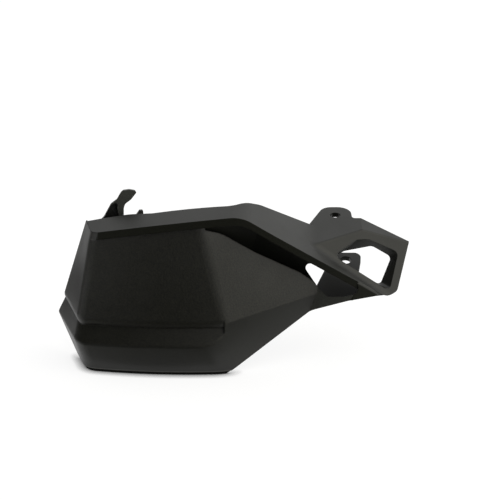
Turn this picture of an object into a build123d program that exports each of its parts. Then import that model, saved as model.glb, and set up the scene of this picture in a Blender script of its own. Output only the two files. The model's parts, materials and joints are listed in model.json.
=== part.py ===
from build123d import *
import os
from math import cos, hypot, radians, sin, tan

# A motorcycle hand guard: one thin-walled black moulding, open at the back.
# X runs along the guard from its outer end to its inner end, -Y is the front and Z is up.
# While it is modelled, Y = 0 and Z = 0 are at the front of the lower rim, and X = 0 is near mid-length.

# Walls, in mm
WALL = 3.0
EAR_THICKNESS = 4.5
BAR_THICKNESS = 6.0
RIB_THICKNESS = 2.4

# Heights above the lower rim
RIM_LIP = 3.0
LEDGE_EDGE = 28.6
FACE_FOOT = 39.0
ROOF_HEIGHT = 136.3
STRUT_HEIGHT = 113.2

# The front is bowed in plan, and the roof band is arched along its length
BOW_RADIUS = 420.0
BOW_PLACE = -40.0
ARCH_RADIUS = 700.0

# The roof band rises to the back, its outer half climbs inwards, and the strut falls away
ROOF_TILT = 9.0
ROOF_SLOPE = 0.11
STRUT_SLOPE = -0.6845
STRUT_TURN = 11.44
SLIDE_TILT = 22.0
LIP_FRONT_Y = 9.3
LIP_HEIGHT = 6.7
RIM_STEP = 1.2

# Radii of the soft bends between the panels
BEND_RADIUS = 30.0
WING_RADIUS = 25.0
LOWER_PANEL_RADIUS = 50.0
CORNER_RADIUS = 10.0
RIDGE_RADIUS = 4.0
STRUT_CORNER_RADIUS = 4.0
DISH_RADIUS = 15.0
LEDGE_CORNER_RADIUS = 15.0
FOOT_RADIUS = 10.0
LEDGE_RADIUS = 3.5

# Fixing ears
UPPER_HOLE = (88.7, 96.3)
UPPER_HOLE_RADIUS = 4.5
LOWER_HOLE = (98.2, 88.5)
LOWER_HOLE_RADIUS = 5.0
LOWER_EAR_TILT = 18.0

# Window frame at the inner end
FRAME_CORNER = (84.4, 43.3, 92.3)
FRAME_STRUT_END = (125.6, 41.7, 65.1)
FRAME_OUTWARD = (0.370, -0.708, 0.602)
FRAME_DEPTH = 12.0

# Bar-end hook, a flat plate that stands across the outer end
HOOK_FOOT = (-128.0, 12.3, 0.0)
HOOK_TURN = 5.0
HOOK_LEAN = 14.0
HOOK_WIDTH = 8.0
HOOK_WEB = 2.5

# Block that the walls are cut from, a length longer than the guard, and how close counts as touching
BLOCK = Pos(0, 70, 70) * Box(460, 260, 240)
REACH = 260.0
NEAR = 0.01


class Wall:
    """An outer surface: a plane, or a patch of a large cylinder that touches the plane at its origin."""

    def __init__(self, plane, bow=0):
        self.plane = plane
        self.bow = bow
        self.axis = Plane(plane.origin - bow * plane.z_dir, z_dir=plane.y_dir)

    def depth(self, point):
        """How far a point stands in front of the wall."""
        if self.bow:
            spot = self.axis.to_local_coords(point)
            return hypot(spot.X, spot.Y) - self.bow
        return self.plane.to_local_coords(point).Z

    def touches(self, point, inset):
        """Whether a point lies on the wall, once the wall has moved in by `inset`."""
        return abs(self.depth(point) + inset) < NEAR

    def cut_back(self, body, inset):
        """Keep what lies behind the wall, once the wall has moved in by `inset`."""
        if self.bow:
            return body & self.axis * Cylinder(self.bow - inset, 4 * REACH)
        return split(body, bisect_by=self.plane.offset(-inset), keep=Keep.BOTTOM)


def wall(point, turn, lean, bow=0):
    """Wall turned from the front towards the inner end, leaning back from upright."""
    a = radians(turn)
    b = radians(lean)
    outward = (sin(a) * cos(b), -cos(a) * cos(b), sin(b))
    return Wall(Plane(point, x_dir=(cos(a), sin(a), 0), z_dir=outward), bow)


def slope(point, along, bow=0):
    """Upper face that climbs `along` per mm of X and rises to the back."""
    return Wall(Plane(point, x_dir=(1, 0, along), z_dir=(-along, -tan(radians(ROOF_TILT)), 1)), bow)


def wall_through(first, second, third):
    """Flat wall through three points, facing the front."""
    a = Vector(*second) - Vector(*first)
    b = Vector(*third) - Vector(*first)
    normal = a.cross(b).normalized()
    return Wall(Plane(first, z_dir=normal if normal.Y < 0 else -normal))


TURN = radians(STRUT_TURN)
TANGENT_PLACE = (
    BOW_PLACE + BOW_RADIUS * sin(TURN), LIP_FRONT_Y + BOW_RADIUS * (1 - cos(TURN)), ROOF_HEIGHT
)

FACE = wall((BOW_PLACE, 1, 53), 0, 8, BOW_RADIUS)
WING = wall((-11, 0.1, 47), 23.4, 12)
SIDE = wall((-131.2, 0.1, 47), -74, 11)
LEDGE = wall((BOW_PLACE, -5.2, LEDGE_EDGE), 0, 28, BOW_RADIUS)
LEDGE_SIDE = wall((-136.2, 7.7, LEDGE_EDGE), -73, 18.5)
BAND = wall((BOW_PLACE, -5.2, LEDGE_EDGE), 0, -12, BOW_RADIUS)
BAND_SIDE = wall((-136.2, 7.7, LEDGE_EDGE), -73, -17)
LOWER_PANEL = wall((-11, 0.1, 47), 25.05, 0.8)
ROOF = slope((BOW_PLACE, LIP_FRONT_Y, ROOF_HEIGHT), ROOF_SLOPE, ARCH_RADIUS)
STRUT_ROOF = slope((46.5, 18.3, STRUT_HEIGHT), STRUT_SLOPE)
LIP_FRONT = wall((BOW_PLACE, LIP_FRONT_Y, ROOF_HEIGHT), 0, 0, BOW_RADIUS)
STRUT_FRONT = wall(TANGENT_PLACE, STRUT_TURN, 0)
RECESS = wall((0, 28, 114), 21, -15)
RECESS_END = wall((50, 45, 88), 8, -12)
FOOT = Wall(Plane((0, 0, FACE_FOOT), z_dir=(0, 0, -1)))
HEEL_SIDE = Wall(Plane((-9, 0, 0), z_dir=(-1, 0, 0)))
LEDGE_TOP = Wall(Plane((0, 0, 1.5 * FACE_FOOT)))
HOOK_FACE = wall(HOOK_FOOT, HOOK_TURN, HOOK_LEAN)

# The mould's slide forms the groove under the strut and the pocket at its end
TILT = radians(SLIDE_TILT)
SLIDE_PLANE = Plane((17, 25.4, 103.8), x_dir=(1, 0, 0), z_dir=(0, -cos(TILT), sin(TILT)))
STRUT_GAP = [
    (60, 10, 0), (54, -9.3, 0), (41.3, -9.6, 3.5), (53.5, -28, 10), (62, -38, 7), (77, -38, 8),
    (87.5, -35.5, 4), (89, -31, 3), (80, 10, 0),
]
GROOVE = [
    (-42.2, 60, 0), (-42.2, 18, 0), (-29, 15.5, 30), (0, -0.1, 40), (38.9, -16.9, 20), (56, -28.2, 0),
    (70, 60, 0),
]


def behind(walls, inset):
    """The block cut back to what lies behind every wall."""
    body = BLOCK
    for item in walls:
        body = item.cut_back(body, inset)
    return body


def edges_on(body, walls, inset):
    """Edges of a form that lie on all the given walls."""
    return body.edges().filter_by(lambda e: all(w.touches(e.center(), inset) for w in walls))


def inner(edges):
    """Edges of a form that don't lie on the working block's own faces."""
    limit = BLOCK.bounding_box().max
    return edges.filter_by(lambda e: e.center().X < limit.X - 1 and e.center().Y < limit.Y - 1)


def round_bend(body, first, second, inset, radius):
    """Round the foremost bend where two walls of a form meet. The inside radius is smaller by the inset."""
    bend = edges_on(body, [first, second], inset).sort_by(Axis.Y)[0]
    return fillet(bend, radius - inset)


def roof_form(inset):
    """Everything under the roof band and the strut."""
    return round_bend(behind([ROOF, STRUT_ROOF], inset), ROOF, STRUT_ROOF, inset, BEND_RADIUS)


def shield_form(inset):
    """Face, wing and outer side. Face and side curl under at their foot, the wing runs straight down."""
    body = behind([FACE, WING, SIDE], inset)
    body = round_bend(body, FACE, WING, inset, WING_RADIUS)
    body = round_bend(body, FACE, SIDE, inset, CORNER_RADIUS)
    blunt = FOOT.cut_back(body, inset)
    curled = fillet(inner(edges_on(blunt, [FOOT], inset)), FOOT_RADIUS - inset)
    return LOWER_PANEL.cut_back(curled + HEEL_SIDE.cut_back(blunt, inset), inset)


def ledge_form(inset):
    """The flared ledge under the face and the band that tucks in below it."""
    ledge = round_bend(behind([LEDGE, LEDGE_SIDE], inset), LEDGE, LEDGE_SIDE, inset, LEDGE_CORNER_RADIUS)
    band = behind([BAND, BAND_SIDE, LOWER_PANEL, LEDGE_TOP], inset)
    band = round_bend(band, BAND, BAND_SIDE, inset, LEDGE_CORNER_RADIUS)
    band = round_bend(band, BAND, LOWER_PANEL, inset, LOWER_PANEL_RADIUS)
    body = ledge & band
    if inset == 0:
        edge = inner(new_edges(ledge, band, combined=body))
        body = fillet(edge.filter_by(lambda e: e.center().Z < FACE_FOOT), LEDGE_RADIUS)
    return WING.cut_back(body, inset)


def lip_form(inset):
    """Everything behind the bowed lip and the straight strut that leaves it at a tangent."""
    tangent = Plane(TANGENT_PLACE, z_dir=(cos(TURN), sin(TURN), 0))
    bowed = split(behind([LIP_FRONT, SIDE], inset), bisect_by=tangent, keep=Keep.BOTTOM)
    straight = split(behind([STRUT_FRONT], inset), bisect_by=tangent, keep=Keep.TOP)
    return round_bend(bowed + straight, LIP_FRONT, SIDE, inset, CORNER_RADIUS)


def outline(*corners):
    """Closed flat outline from corners given as (across, up, corner radius)."""
    line = FilletPolyline(*[(x, y) for x, y, _ in corners], radius=[r for *_, r in corners], close=True)
    return make_face(line)


def front_prism(*corners):
    """Outline seen from the front, carried right through the guard."""
    return extrude(Plane.XZ * outline(*corners), amount=REACH, both=True)


def slide_prism(drop, *corners):
    """Outline carried through the guard along the mould's slide, once it has moved down by `drop`."""
    return extrude(SLIDE_PLANE * Pos(0, -drop) * outline(*corners), amount=REACH, both=True)


def plan_prism(low, *corners):
    """Outline seen from above, carried up from the height `low`."""
    return Pos(0, 0, low) * extrude(outline(*corners), amount=REACH)


def groove_form(inset):
    """The groove between the strut and the wing, which deepens towards the inner end."""
    return slide_prism(inset, *GROOVE) - behind([RECESS], inset) - behind([RECESS_END], inset)


def form(inset):
    """The whole moulding as one lump, drawn in from its outer skin by `inset`."""
    skin = shield_form(inset) + ledge_form(inset) - groove_form(inset)
    return skin & roof_form(inset)


def plate(surface, thickness, *corners):
    """Flat plate under a wall, with its outline seen from above."""
    slab = behind([surface], 0) - behind([surface], thickness)
    return plan_prism(-20, *corners) & slab


# Cuts that give the moulding its edges
LOWER_EDGE = [
    (-200, 0, 0), (-7.8, 0, 6), (67, 46.5, 30), (100, 59.4, 20), (240, 65.6, 0),
    (240, -60, 0), (-200, -60, 0),
]
SIDE_EDGE = [
    (40.5, 190, 0), (40.5, 131, 4), (76, 28, 6), (36, 0, 10), (36, -60, 0), (250, -60, 0), (250, 190, 0),
]
ROOF_EDGE = [
    (-126, 40.5, 0), (-90, 37.5, 20), (-70, 32.8, 20), (-1.5, 32.2, 14), (21.5, 54.6, 20), (66, 78.8, 0),
    (66, 44.5, 4), (84, 43.3, 0), (134, 41.5, 0), (240, 41.5, 0), (240, 230, 0), (-126, 230, 0),
]
ROOF_EDGE_LOW = 84.0
STRUT_EDGE = [(66, 44.5, 0), (84, 43.3, 0), (134, 41.5, 0), (240, 41.5, 0), (240, 230, 0), (66, 230, 0)]
STRUT_EDGE_LOW = 45.0
STRUT_END = Wall(Plane((106, 0, 0), z_dir=(1, 0, 0)))


def trimmed(body):
    """Cut a hollow form back to the guard's free edges."""
    side_cut = Pos(-60, 0, 0) * extrude(Plane.YZ * outline(*SIDE_EDGE), amount=-REACH)
    body = body - front_prism(*LOWER_EDGE) - side_cut
    body = body - plan_prism(ROOF_EDGE_LOW, *ROOF_EDGE) - plan_prism(STRUT_EDGE_LOW, *STRUT_EDGE)
    return STRUT_END.cut_back(body, 0)


def cap_form(inset):
    """The roof band and strut as a lump, standing proud of the panels below."""
    return lip_form(inset) & roof_form(inset)


def roof_cap():
    """Roof band and strut: a flange with a lip that hangs from its front edge."""
    cap = cap_form(0) - cap_form(WALL) - Pos(0, 0, -LIP_HEIGHT) * roof_form(0)
    return trimmed(cap)


def panels():
    """The hollow shield: face, wing, side, ledge, band and recess wall, with a stepped lower rim."""
    outer = form(0)
    shell = trimmed(outer - form(WALL)) - slide_prism(0, *STRUT_GAP)
    core = form(RIM_STEP)
    shell = shell - ((outer - core) & Pos(0, 70, 0) * Box(460, 260, 2 * RIM_LIP))
    return shell, core


FRAME_PLANE = Plane(
    FRAME_CORNER, x_dir=Vector(*FRAME_STRUT_END) - Vector(*FRAME_CORNER), z_dir=FRAME_OUTWARD
)
FRAME_LOW = (65, 6)
FRAME_HIGH = (56, 54)
FRAME_OUTLINE = [(-34, -7, 0), (58, -7, 16), (*FRAME_LOW, 7), (*FRAME_HIGH, 4), (-34, 33, 0)]
FRAME_RISE = Vector(*FRAME_HIGH) - Vector(*FRAME_LOW)
FRAME_SIDE = Wall(Plane(
    FRAME_PLANE.from_local_coords((*FRAME_LOW, 0)),
    z_dir=FRAME_PLANE.x_dir * FRAME_RISE.Y - FRAME_PLANE.y_dir * FRAME_RISE.X,
))
FRAME_UNDERSIDE = wall_through((100, 31, 57.3), (136, 36, 60.9), (118, 58, 50))
WINDOW = [(0, 1.5, 4), (12.5, 27.4, 8), (21.2, 33.8, 8), (51.1, 39.4, 5), (58.8, 1.5, 5)]
WINDOW_BACK = [(4, 8.5, 3), (9.5, 17, 6), (31, 37.5, 8), (50.3, 38.2, 4), (51.3, 9, 4)]


EAR_END = 111.0
EAR_TOP = slope((67.6, 58.9, 105.8), 0)
FLANGE_TOP = slope((EAR_END, 58.9, 105.8), -0.39)
LOWER_EAR_TOP = Wall(Plane((80, 42, 57), z_dir=(0, -tan(radians(LOWER_EAR_TILT)), 1)))
FRAME_FRONT = Wall(FRAME_PLANE)
FRAME_START = Wall(Plane((65, 0, 0), z_dir=(-1, 0, 0)))
UPPER_EAR = [
    (64.5, 46, 0), (64.5, 78.6, 4), (78.5, 111, 11), (102.5, 111, 12), (103.4, 91, 3), (EAR_END, 91, 0),
    (EAR_END, 58, 0),
]
FLANGE = [(EAR_END, 58, 0), (EAR_END, 91, 0), (158, 79.5, 0), (156, 66, 0)]
DISH_PLAN = [(54, 30, 0), (140, 30, 0), (140, 60, 0), (74, 60, 0), (74, 79, 0), (60, 76, 0), (54, 60, 0)]
LOWER_EAR = [
    (66, 41, 0), (88, 98.5, 8), (113, 98.5, 6), (106, 56, 0), (112, 50, 0), (112, 34, 0), (90, 34, 0),
]


def ear_block():
    """What lies under the ear and flange and behind the frame's front, with a soft ridge between them."""
    block = behind([EAR_TOP, FLANGE_TOP, FRAME_FRONT], 0)
    ridge = edges_on(block, [FRAME_FRONT, EAR_TOP], 0) + edges_on(block, [FRAME_FRONT, FLANGE_TOP], 0)
    return fillet(ridge, RIDGE_RADIUS)


EAR_BLOCK = ear_block()


def dish():
    """Soft valley where the strut's top runs up into the ear and the frame."""
    strut = behind([STRUT_ROOF], 0)
    sharp = strut + EAR_BLOCK
    valley = inner(new_edges(strut, EAR_BLOCK, combined=sharp))
    valley = valley.filter_by(lambda e: STRUT_ROOF.touches(e.center(), 0))
    blend = (fillet(valley, DISH_RADIUS) - sharp) & plan_prism(0, *DISH_PLAN)
    return blend & extrude(FRAME_PLANE * outline(*FRAME_OUTLINE), amount=REACH, both=True)


def window_frame():
    """Box-section frame round the five-sided window, open at the back like the rest of the moulding."""
    front = outline(*FRAME_OUTLINE)
    window = outline(*WINDOW)
    window_back = outline(*WINDOW_BACK)
    frame = extrude(FRAME_PLANE * front, amount=-FRAME_DEPTH)
    channel = offset(front, -WALL) - offset(window + window_back, WALL)
    frame -= extrude(FRAME_PLANE.offset(-WALL) * channel, amount=-FRAME_DEPTH)
    frame = frame & behind([FRAME_START, FRAME_UNDERSIDE], 0) & EAR_BLOCK
    hole = loft([FRAME_PLANE * window, FRAME_PLANE.offset(-FRAME_DEPTH - 1) * window_back], ruled=True)
    return frame, hole + extrude(FRAME_PLANE * window, amount=1)


def point_on(surface, x, y):
    """Point of a flat wall straight above or below a place in plan."""
    n = surface.plane.z_dir
    o = surface.plane.origin
    return Vector(x, y, o.Z - (n.X * (x - o.X) + n.Y * (y - o.Y)) / n.Z)


UPPER_HOLE_TOP = point_on(EAR_TOP, *UPPER_HOLE)
LOWER_HOLE_TOP = point_on(LOWER_EAR_TOP, *LOWER_HOLE)


def bolt_hole(centre, surface, radius):
    """Round hole square to an ear."""
    return Plane(centre, z_dir=surface.plane.z_dir) * Cylinder(radius, 6 * EAR_THICKNESS)


def ears():
    """Upper ear with its gusset to the frame, and the lower ear that reaches back from the bar."""
    deck = plate(EAR_TOP, EAR_THICKNESS, *UPPER_EAR) + plate(FLANGE_TOP, WALL, *FLANGE)
    deck = deck & behind([FRAME_SIDE], 0) & EAR_BLOCK
    deck -= bolt_hole(UPPER_HOLE_TOP, EAR_TOP, UPPER_HOLE_RADIUS)
    lower = plate(LOWER_EAR_TOP, EAR_THICKNESS, *LOWER_EAR) & behind([FRAME_UNDERSIDE], 0)
    lower -= bolt_hole(LOWER_HOLE_TOP, LOWER_EAR_TOP, LOWER_HOLE_RADIUS)
    return deck + lower


BAR = [(62, 40, 0), (108, 40, 0), (108, 76, 0), (62, 76, 0)]
BAR_FRONT = wall_through((71, 38.4, 60), (101, 25.5, 59.5), (105, 30.1, 75))
CORNER_FRONT = wall_through((105, 30.1, 75), (126, 34.4, 61.3), (101, 25.5, 59.5))
CORNER_PLAN = [(102, 10, 0), (137, 10, 0), (137, 44, 0), (102, 44, 0)]


def corner_form(inset):
    """Everything behind the corner where the strut, the bar and the frame run together."""
    body = behind([CORNER_FRONT, BAR_FRONT, STRUT_ROOF], inset)
    return round_bend(body, CORNER_FRONT, STRUT_ROOF, inset, STRUT_CORNER_RADIUS)


def lower_bar():
    """Bar that carries the lower ear, from the end of the wing to the foot of the strut."""
    bar = front_prism(*BAR) & (corner_form(0) - behind([BAR_FRONT], BAR_THICKNESS))
    return bar - front_prism(*LOWER_EDGE) - slide_prism(0, *STRUT_GAP)


def strut_corner():
    """Skin of the corner at the foot of the strut."""
    skin = (corner_form(0) - corner_form(WALL)) & plan_prism(0, *CORNER_PLAN)
    return skin - front_prism(*LOWER_EDGE) - slide_prism(0, *STRUT_GAP)


HOOK_OUTLINE = [
    (-8, 86, 0), (-8, 108, 0), (18.8, 132, 8), (25.1, 142.9, 4), (30.3, 146.6, 4), (33.9, 152.5, 3),
    (36, 154.3, 2), (41.2, 154.9, 4), (45.9, 153.9, 1.5), (47.1, 152.2, 1), (42.3, 146.3, 8),
    (37, 142.6, 5),
    (35.9, 139, 5), (35.6, 127, 3), (42, 127, 3), (49.3, 136.8, 1), (52.3, 137, 1), (53, 126, 4),
    (38, 118, 8), (20, 110, 10), (4, 86, 0),
]
HOOK_POCKET = [
    (13, 120, 2), (24.3, 141.5, 3), (31, 144.7, 1.5), (30.2, 139.4, 3), (31.6, 131, 3), (27, 120, 3),
]


def bar_end_hook():
    """C-shaped hook on a pocketed arm that grows out of the side wall."""
    arm = extrude(HOOK_FACE.plane * outline(*HOOK_OUTLINE), amount=-HOOK_WIDTH)
    arm -= extrude(HOOK_FACE.plane * outline(*HOOK_POCKET), amount=HOOK_WEB - HOOK_WIDTH)
    return arm & behind([SIDE], WALL / 2)


RIB_PLACES = [-95, -60, -25]
RIB_OUTLINE = [(-20, 150, 0), (29, 150, 0), (29, 128, 0), (12, 96, 0), (-20, 96, 0)]


def ribs(core):
    """Gussets that tie the roof band to the back of the face."""
    rib = extrude(Plane.YZ * outline(*RIB_OUTLINE), amount=RIB_THICKNESS / 2, both=True)
    return [Pos(x, 0, 0) * rib & core for x in RIB_PLACES]


def guard():
    """The finished moulding, with its origin at the top of the upper ear's hole."""
    shell, core = panels()
    frame, window = window_frame()
    body = shell + roof_cap() + ribs(core)
    body = body + frame + ears() + dish() + lower_bar() + strut_corner() + bar_end_hook()
    body = body - window
    return Pos(-UPPER_HOLE_TOP) * body


if __name__ == "__main__":
    os.makedirs("parts", exist_ok=True)
    moulding = guard()
    export_step(moulding, "parts/guard_shell.step")
    box = moulding.bounding_box()
    print("solids", len(moulding.solids()), "valid", moulding.is_valid, "volume", round(moulding.volume))
    print("box", box.min, box.max)
    print("upper hole at", UPPER_HOLE_TOP, "lower hole at", LOWER_HOLE_TOP - UPPER_HOLE_TOP)
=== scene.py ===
# %% [markdown]
# # A motorcycle hand guard
# The guard is one black plastic moulding that shields a rider's hand from wind and branches.
# Its solid comes from the CAD frame, in metres, with the origin in the upper ear's bolt hole.
# Here it gets what a solid model lacks: soft edges, the finishes that a mould leaves, and studio light.

import json
import math

import bpy
from mathutils import Matrix, Vector


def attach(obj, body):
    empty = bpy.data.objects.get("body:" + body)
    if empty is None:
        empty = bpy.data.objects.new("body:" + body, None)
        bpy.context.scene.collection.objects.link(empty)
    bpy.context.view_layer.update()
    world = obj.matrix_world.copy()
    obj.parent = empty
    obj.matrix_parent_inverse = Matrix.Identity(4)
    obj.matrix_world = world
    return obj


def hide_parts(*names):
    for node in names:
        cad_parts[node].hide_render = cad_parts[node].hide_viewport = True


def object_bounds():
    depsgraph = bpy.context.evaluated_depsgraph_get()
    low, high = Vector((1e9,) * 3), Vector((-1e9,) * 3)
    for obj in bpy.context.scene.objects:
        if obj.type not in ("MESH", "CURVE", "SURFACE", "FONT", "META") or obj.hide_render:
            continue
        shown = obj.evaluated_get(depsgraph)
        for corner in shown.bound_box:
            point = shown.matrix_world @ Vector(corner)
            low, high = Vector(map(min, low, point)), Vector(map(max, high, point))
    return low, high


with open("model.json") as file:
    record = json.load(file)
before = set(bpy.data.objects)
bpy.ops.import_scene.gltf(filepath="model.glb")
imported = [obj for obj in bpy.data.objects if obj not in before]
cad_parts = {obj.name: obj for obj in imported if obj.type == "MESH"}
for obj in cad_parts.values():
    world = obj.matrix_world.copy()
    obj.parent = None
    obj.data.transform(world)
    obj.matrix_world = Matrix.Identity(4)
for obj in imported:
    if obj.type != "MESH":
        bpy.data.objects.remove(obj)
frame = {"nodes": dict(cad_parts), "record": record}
cad_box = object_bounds()
shell = frame["nodes"]["guard_shell"]
MM = 0.001
print("moulding:", len(shell.data.polygons), "triangles, from", *cad_box)

# %% [markdown]
# ## Camera
# A product photographer stands well back with a long lens, so the guard keeps its proportions.
# The camera looks along +Y and down by 22 degrees. It could be turned by hand until it looks right,
# but a point of the guard and the pixel it falls on fix the direction exactly.

# %% Camera
VIEW_DOWN = math.radians(22)
CAMERA_AWAY = 1600 * MM
PICTURE = 500
PIXELS_PER_METRE = 1167
AIM_POINT = Vector((-88.7, -71.3, -41.7)) * MM
AIM_PIXEL = (235, 289)

right = Vector((1, 0, 0))
ahead = Vector((0, math.cos(VIEW_DOWN), -math.sin(VIEW_DOWN)))
up = right.cross(ahead)
eye = AIM_POINT - CAMERA_AWAY * ahead
focal_pixels = PIXELS_PER_METRE * CAMERA_AWAY
across = PICTURE / 2 - AIM_PIXEL[0]
above = AIM_PIXEL[1] - PICTURE / 2
sight = (ahead * focal_pixels + right * across + up * above).normalized()
side = sight.cross(up).normalized()

camera = bpy.data.objects.new("camera", bpy.data.cameras.new("camera"))
camera.data.lens = focal_pixels / PICTURE * camera.data.sensor_width
turn = Matrix((side, side.cross(sight), -sight)).transposed()
camera.matrix_world = Matrix.Translation(eye) @ turn.to_4x4()
bpy.context.scene.collection.objects.link(camera)
bpy.context.scene.camera = camera
bpy.context.scene.view_settings.view_transform = "Standard"
print("lens", round(camera.data.lens, 1), "mm, camera at", *eye)

# %% [markdown]
# ## Floor
# The guard stands on white paper. A studio's paper sweeps up behind the object, and here one flat sheet does,
# because it is large enough to fill every view from above.

# %% Floor
FLOOR_SIZE = 40.0

floor_z = cad_box[0].z
bpy.ops.mesh.primitive_plane_add(size=FLOOR_SIZE)
floor = bpy.context.object
floor.name = "floor"
floor.location = (0, 0, floor_z)
print("floor at", round(floor_z, 4), "m")

# %% [markdown]
# ## Colours and nodes
# Colours are written as the sRGB hex values one sees, and the renderer works in linear light,
# so one function turns the first into the second. Another adds a node, fills in its settings and
# joins its inputs, which keeps each material below as short as its description.


# %% Colours and nodes
def linear(hex_code):
    """Linear RGBA of an sRGB hex colour."""
    parts = [int(hex_code[i : i + 2], 16) / 255 for i in (1, 3, 5)]
    return [c / 12.92 if c <= 0.04045 else ((c + 0.055) / 1.055) ** 2.4 for c in parts] + [1.0]


def add_node(tree, kind, inputs=None, **settings):
    """Add a node. An input is either a value or the output it is joined to."""
    node = tree.nodes.new(kind)
    for name, value in settings.items():
        setattr(node, name, value)
    for name, value in (inputs or {}).items():
        if isinstance(value, bpy.types.NodeSocket):
            tree.links.new(value, node.inputs[name])
        else:
            node.inputs[name].default_value = value
    return node


def new_material(name):
    """An empty material: itself, its node tree and the node that ends it."""
    material = bpy.data.materials.new(name)
    material.use_nodes = True
    material.node_tree.nodes.clear()
    return material, material.node_tree, add_node(material.node_tree, "ShaderNodeOutputMaterial")


print("mid grey #808080 is", round(linear("#808080")[0], 3), "in linear light")

# %% [markdown]
# ## White paper
# Lit paper is never quite white, and a product picture wants its ground pure white. More light would do it,
# but would wash out the guard. So what the camera and the reflections see of the paper is part glow and part
# paper: the glow lifts it to white, and the paper still takes the guard's shadow. The glow dies away in the
# last centimetre before the guard, which paints a contact shadow there, dark as on a real table. The light
# that the floor throws back at the guard is that of plain paper.

# %% White paper
PAPER = "#F4F4F4"
SHADOW_PAPER = "#989898"
GLOW = 0.77
CONTACT_REACH = 8 * MM
GLOW_GONE = 0.2  # the share of open air at which no glow is left

sweep, tree, output = new_material("white paper sweep")
paper = add_node(tree, "ShaderNodeBsdfDiffuse", {"Color": linear(PAPER)})
shadow = add_node(tree, "ShaderNodeBsdfDiffuse", {"Color": linear(SHADOW_PAPER)})
# Painted shadow: the occlusion node finds where the guard is near, and the glow fades there to a dark contact
# shadow
open_air = add_node(tree, "ShaderNodeAmbientOcclusion", {"Distance": CONTACT_REACH}, samples=8)
fade = add_node(
    tree, "ShaderNodeMapRange", {"Value": open_air.outputs["AO"], "From Min": GLOW_GONE, "To Max": GLOW},
)
glow = add_node(tree, "ShaderNodeEmission", {"Strength": fade.outputs["Result"]})
bright = add_node(tree, "ShaderNodeAddShader", {0: shadow.outputs[0], 1: glow.outputs[0]})
path = add_node(tree, "ShaderNodeLightPath")
seen = add_node(
    tree, "ShaderNodeMath",
    {0: path.outputs["Is Camera Ray"], 1: path.outputs["Is Glossy Ray"]}, operation="MAXIMUM",
)
seen = add_node(
    tree, "ShaderNodeMath",
    {0: seen.outputs[0], 1: path.outputs["Is Transmission Ray"]}, operation="MAXIMUM",
)
look = add_node(
    tree, "ShaderNodeMixShader",
    {"Fac": seen.outputs[0], 1: paper.outputs[0], 2: bright.outputs[0]},
)
tree.links.new(look.outputs[0], output.inputs["Surface"])
floor.data.materials.append(sweep)
print(sweep.name, "with a glow of", GLOW)

# %% [markdown]
# ## Light
# A white tent lights black plastic evenly, and the plastic then shows what it mirrors. A soft box high on
# the right catches the window frame and the dish beside it, and one low on the right catches the wing.
# Their cloth is a little warm. A lamp could be aimed at each panel, but a few large soft lights leave no
# hard spots on a satin skin.

# %% Tent and soft boxes
TENT_STRENGTH = 0.8
BOX_CLOTH = "#FFFAE6"
SOFT_BOXES = {
    "high_box": {"from": (0.70, 0.00, 0.70), "away": 1.6, "side": 1.2, "brightness": 1.0},
    "low_box": {"from": (0.70, -0.70, 0.16), "away": 1.2, "side": 0.7, "brightness": 1.0},
}

tent = bpy.data.worlds.new("light tent")
bpy.context.scene.world = tent
tent.use_nodes = True
cloth = tent.node_tree.nodes["Background"]
cloth.inputs["Color"].default_value = linear("#FFFFFF")
cloth.inputs["Strength"].default_value = TENT_STRENGTH

for name, box in SOFT_BOXES.items():
    lamp = bpy.data.objects.new(name, bpy.data.lights.new(name, "AREA"))
    direction = Vector(box["from"]).normalized()
    lamp.data.size = box["side"]
    lamp.data.color = linear(BOX_CLOTH)[:3]
    lamp.data.energy = box["brightness"] * math.pi * box["side"] ** 2
    lamp.location = AIM_POINT + box["away"] * direction
    lamp.rotation_euler = direction.to_track_quat("Z", "Y").to_euler()
    bpy.context.scene.collection.objects.link(lamp)
    print(name, round(lamp.data.energy, 2), "W")

# %% [markdown]
# ## Flag cloth
# A photographer keeps a black object dark with cards and cloths, called flags. Real ones hang outside the
# picture and also take light from the floor. Here they show in reflections only, so they can lie where they
# are needed. Their cloth is matt and gives the eye an even tone, black or grey.

# %% Flag cloth
CLOTHS = {"black": "#080808", "grey": "#CCCCCC"}

flags = {}
for name, dye in CLOTHS.items():
    flags[name], tree, output = new_material(name + " flag cloth")
    dyed = add_node(tree, "ShaderNodeBsdfDiffuse", {"Color": linear(dye)})
    tree.links.new(dyed.outputs[0], output.inputs["Surface"])


def place_flag(name, corners, faces, cloth):
    """A card or cloth that only reflections see."""
    mesh = bpy.data.meshes.new(name)
    mesh.from_pydata(corners, [], faces)
    mesh.materials.append(flags[cloth])
    card = bpy.data.objects.new(name, mesh)
    bpy.context.scene.collection.objects.link(card)
    card.visible_camera = False
    card.visible_diffuse = False
    card.visible_shadow = False


print("cloths:", list(flags))

# %% [markdown]
# ## Cards on the floor
# The lower half of the guard mirrors the floor before it. Bare paper makes the band too pale there and
# a black card makes it as dark as the ledge, so a grey card lies before it, slanted along its bow. Black
# cards farther out darken the ledge, the foot of the face and the lower panel, and one past the outer end
# darkens the side.

# %% Cards on the floor
CARD_HEIGHT = 2 * MM
FLOOR_CARDS = {
    "band_card": {"x": (-0.32, -0.10), "front": -0.126, "back": (-0.090, -0.106), "cloth": "grey"},
    "ledge_card": {"x": (-0.32, -0.09), "front": -0.80, "back": (-0.126, -0.126), "cloth": "black"},
    "panel_card": {"x": (-0.09, 0.24), "front": -0.80, "back": (-0.128, -0.145), "cloth": "black"},
    "outer_card": {"x": (-0.90, -0.32), "front": -0.02, "back": (0.20, 0.20), "cloth": "black"},
}

for name, place in FLOOR_CARDS.items():
    x_left, x_right = place["x"]
    y_front = place["front"]
    y_back_left, y_back_right = place["back"]
    outline = [(x_left, y_front), (x_right, y_front), (x_right, y_back_right), (x_left, y_back_left)]
    corners = [(x, y, floor_z + CARD_HEIGHT) for x, y in outline]
    place_flag(name, corners, [(0, 1, 2, 3)], place["cloth"])
print("cards:", list(FLOOR_CARDS))

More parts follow.
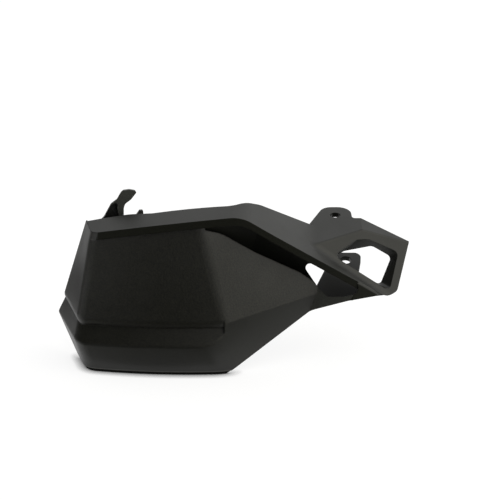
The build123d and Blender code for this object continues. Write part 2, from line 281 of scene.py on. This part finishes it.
# %% [markdown]
# ## Curtains
# The face, the ledge and the roof's lip mirror the room behind the camera. A tall black curtain hangs there,
# from the front round to the outer end, and a low one farther round darkens the window's right wall. One
# flat cloth would leave gaps at the sides, so each is bent round the guard in strips.

# %% Curtains
CURTAIN_AWAY = 1.3
CURTAIN_STRIPS = 16
CURTAINS = {
    "front_curtain": {"turn": (-120, 15), "height": 2.2},
    "back_curtain": {"turn": (-165, -120), "height": 0.45},
}

for name, place in CURTAINS.items():
    first, last = (math.radians(degrees) for degrees in place["turn"])
    corners = []
    for i in range(CURTAIN_STRIPS + 1):
        angle = first + (last - first) * i / CURTAIN_STRIPS
        x = AIM_POINT.x + CURTAIN_AWAY * math.sin(angle)
        y = AIM_POINT.y - CURTAIN_AWAY * math.cos(angle)
        corners += [(x, y, floor_z), (x, y, floor_z + place["height"])]
    faces = [(2 * i, 2 * i + 2, 2 * i + 3, 2 * i + 1) for i in range(CURTAIN_STRIPS)]
    place_flag(name, corners, faces, "black")
print("curtains:", list(CURTAINS))

# %% [markdown]
# ## The moulding
# What is seen is a copy of the solid's mesh, with the solid's own normals. Remeshing it could round its
# edges, but would blur its flat panels, so its shape stays and it only takes new finishes.

# %% The moulding
skin = bpy.data.objects.new("guard_moulding", shell.data.copy())
bpy.context.scene.collection.objects.link(skin)
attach(skin, "root")
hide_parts("guard_shell")
print("skin:", len(skin.data.vertices), "points")

# %% [markdown]
# ## Where each finish is
# A mould has two halves. The cavity half makes the outside: its big panels are spark-eroded, which prints
# a fine grain on the plastic, and its narrow bands are left satin. The core half makes the back, and its
# milled steel usually leaves a smoother skin. The recess with the lip above it, the window's walls, the
# frame's lower corner and the stepped rim mostly look darker than their lean explains, because they lie in
# shade, and a dull, darker finish paints that shade on them. The cause isn't known, so they are taken to be
# dull, as from unpolished inserts. The hook and the bar by the lower ear look paler, because they catch more
# light, and a paler grey finish paints that light on them. The finishes could be painted on, but every panel
# leans its own way, so each triangle takes its finish from its normal and its place.

# %% Where each finish is
GRAIN, SATIN, CORE, PAINTED_SHADE, PAINTED_LIGHT = range(5)
RIM_HEIGHT = 3 * MM
LEDGE_EDGE = -83.1 * MM
FOOT_TOP = -62 * MM
RECESS_FOOT = -50 * MM
WING_END = -16 * MM
WINDOW_REACH = 40 * MM
HOOK_END = -160 * MM
HOOK_FOOT = 15 * MM
HOOK_FRONT = -52 * MM
BAR_ENDS = (-25 * MM, 12 * MM)

openings = {opening["name"]: opening["box_m"] for opening in frame["record"]["physics"]["openings"]}
window = (Vector(openings["window"][0]) + Vector(openings["window"][1])) / 2


def finish_of(face):
    """Which finish a triangle has. The bare numbers are cosines: how far its normal n leans."""
    n, c = face.normal, face.center
    hook = c.x < HOOK_END and c.z > HOOK_FOOT and c.y > HOOK_FRONT and n.z < 0.9
    bar = BAR_ENDS[0] < c.x < BAR_ENDS[1] and n.x < -0.2 and n.y < -0.7 and n.z > 0.2
    to_window = window - c
    near_window = to_window.length < WINDOW_REACH and n.y < 0.25 and n.z < 0.9
    window_wall = near_window and n.dot(to_window) > 0.35 * to_window.length
    back = n.y > 0.25 or n.z < -0.6 or (n.x > 0.6 and n.z < 0.3)
    rim = c.z < floor_z + RIM_HEIGHT
    recess = n.y < -0.7 and -0.5 < n.z < -0.12 and c.z > RECESS_FOOT
    lip = n.y < -0.95 and abs(n.z) < 0.05 and c.z > RECESS_FOOT
    frame_corner = n.y < -0.85 and c.x > BAR_ENDS[1]
    curled_foot = n.z <= 0.1 and LEDGE_EDGE < c.z < FOOT_TOP and n.x < 0.3
    panel = (0.1 < n.z < 0.5 or curled_foot) and c.z > LEDGE_EDGE and c.x < WING_END
    # Painted light: the hook takes a paler grey for the light it catches
    if hook:
        return PAINTED_LIGHT
    # Painted shade: the window's walls take the dull, darker finish for the shade they lie in
    if window_wall:
        return PAINTED_SHADE
    if back:
        return CORE
    # Painted shade: the rim, the recess, the lip and the frame's corner take the dull, darker finish for the
    # shade they lie in
    if rim or recess or lip or frame_corner:
        return PAINTED_SHADE
    # Painted light: the bar by the lower ear takes a paler grey for the light it catches
    if bar:
        return PAINTED_LIGHT
    return GRAIN if panel else SATIN


# In the count, insert is the finish with painted shade
finishes = [finish_of(face) for face in skin.data.polygons]
print("triangles with grain, satin, core side, insert, rubbed:", [finishes.count(i) for i in range(5)])

# %% [markdown]
# ## Black polypropylene
# Guards like this one are mostly polypropylene, coloured through with carbon black, so they need no paint.
# The black leans to olive where it is dark, and what it mirrors is plain grey. The grain of a spark-eroded
# mould is about 0.3 mm wide, finer than a pixel here, so it is drawn at 1.3 mm. A moulded skin is seldom
# even, so patches some 40 mm wide are a little duller. Light dies in the corners and grooves, and an
# occlusion node paints that shade into the colour. A bevelled normal rounds the edges by 0.8 mm, a usual
# radius on a moulding; cutting it into the mesh would only add slivers. The lowest edge, on which the guard
# is set
# down, can take a painted highlight: a pale grey line where it catches light.

# %% Black polypropylene
PLASTIC_IOR = 1.49
GRAIN_WIDTH = 1.3 * MM
PATCH_WIDTH = 40 * MM
NOISE_SPAN = {"From Min": 0.3, "From Max": 0.7}  # where nearly all values of a noise lie
CAVITY_REACH = 25 * MM
HIGHLIGHT_GREY = "#4A4A46"
HIGHLIGHT_WIDTH = 1.5 * MM
HIGHLIGHT_FOOT = floor_z + RIM_HEIGHT


def polypropylene(name, pit, peak, dull, relief, edge_radius=0.8 * MM, gleam=0.5, edge_highlight=0.0):
    """A moulded finish: colours of the grain's pits and peaks, roughness range and height of the grain."""
    material, tree, output = new_material(name)
    place = add_node(tree, "ShaderNodeTexCoord").outputs["Object"]
    grain = add_node(
        tree, "ShaderNodeTexNoise",
        {"Vector": place, "Scale": 1 / GRAIN_WIDTH, "Detail": 2.0, "Roughness": 0.6},
    )
    speck = add_node(tree, "ShaderNodeMapRange", {"Value": grain.outputs["Fac"], **NOISE_SPAN})
    black = add_node(
        tree, "ShaderNodeMix",
        {"Factor": speck.outputs["Result"], "A": linear(pit), "B": linear(peak)}, data_type="RGBA",
    )
    cavity = add_node(
        tree, "ShaderNodeAmbientOcclusion",
        {"Color": black.outputs["Result"], "Distance": CAVITY_REACH}, samples=6,
    )
    colour = cavity.outputs["Color"]
    # Painted highlight: a pale grey line along the lowest edge, where it catches light
    if edge_highlight:
        height = add_node(tree, "ShaderNodeSeparateXYZ", {"Vector": place}).outputs["Z"]
        highlight_mask = add_node(
            tree, "ShaderNodeMapRange",
            {"Value": height, "From Min": HIGHLIGHT_FOOT + HIGHLIGHT_WIDTH, "From Max": HIGHLIGHT_FOOT, "To Max": edge_highlight},
        )
        highlighted = add_node(
            tree, "ShaderNodeMix",
            {"Factor": highlight_mask.outputs["Result"], "A": colour, "B": linear(HIGHLIGHT_GREY)}, data_type="RGBA",
        )
        colour = highlighted.outputs["Result"]
    patch = add_node(
        tree, "ShaderNodeTexNoise", {"Vector": place, "Scale": 1 / PATCH_WIDTH, "Detail": 2.0},
    )
    shine = add_node(
        tree, "ShaderNodeMapRange",
        {"Value": patch.outputs["Fac"], **NOISE_SPAN, "To Min": dull[0], "To Max": dull[1]},
    )
    edge = add_node(tree, "ShaderNodeBevel", {"Radius": edge_radius}, samples=6)
    bump = add_node(
        tree, "ShaderNodeBump",
        {"Height": speck.outputs["Result"], "Normal": edge.outputs[0], "Distance": relief, "Strength": 1.0},
    )
    plastic = add_node(
        tree, "ShaderNodeBsdfPrincipled",
        {
            "Base Color": colour, "Roughness": shine.outputs["Result"],
            "IOR": PLASTIC_IOR, "Specular IOR Level": gleam, "Normal": bump.outputs[0],
        },
    )
    tree.links.new(plastic.outputs[0], output.inputs["Surface"])
    return material


print("grain drawn at", GRAIN_WIDTH / MM, "mm, patches at", PATCH_WIDTH / MM, "mm")

# %% [markdown]
# ## The five finishes
# All five are the same black polypropylene, and differ in how smooth the mould's steel is taken to be, and in
# painted shade and painted light. Five mixes in one material could do it, but five short materials are easier
# to read and tune.

# %% The five finishes
# Grained panels: a dark, speckled olive black with a broad, weak sheen, and edges rounder than elsewhere
grained = polypropylene(
    "spark-eroded polypropylene", "#090904", "#1D1D13", (0.42, 0.50), 0.03 * MM, edge_radius=1.6 * MM,
)
# Satin bands: smoother, so they mirror the tent as an even grey, with a painted highlight as a pale line
# along their lowest edge
satin = polypropylene(
    "satin polypropylene", "#13140E", "#171812", (0.40, 0.46), 0.012 * MM, edge_highlight=0.8,
)
# Core side: the smoothest, with the clearest mirror
core_side = polypropylene(
    "core-side polypropylene", "#12130D", "#161711", (0.34, 0.40), 0.006 * MM,
)
# Painted shade: a dull, darker finish, nearly without a mirror, which paints the shade of the recess, the
# lip, the window's walls, the frame's corner and the rim
eroded = polypropylene(
    "polypropylene with painted shade", "#11120A", "#15160E", (0.55, 0.65), 0.03 * MM, gleam=0.15,
)
# Painted light: a paler grey, which paints the light that the hook and the bar catch
painted_light_grey = polypropylene(
    "rubbed polypropylene", "#282924", "#33342E", (0.42, 0.52), 0.02 * MM,
)

skin.data.materials.clear()
for finish in (grained, satin, core_side, eroded, painted_light_grey):
    skin.data.materials.append(finish)
skin.data.polygons.foreach_set("material_index", finishes)
print("finishes:", [finish.name for finish in skin.data.materials])
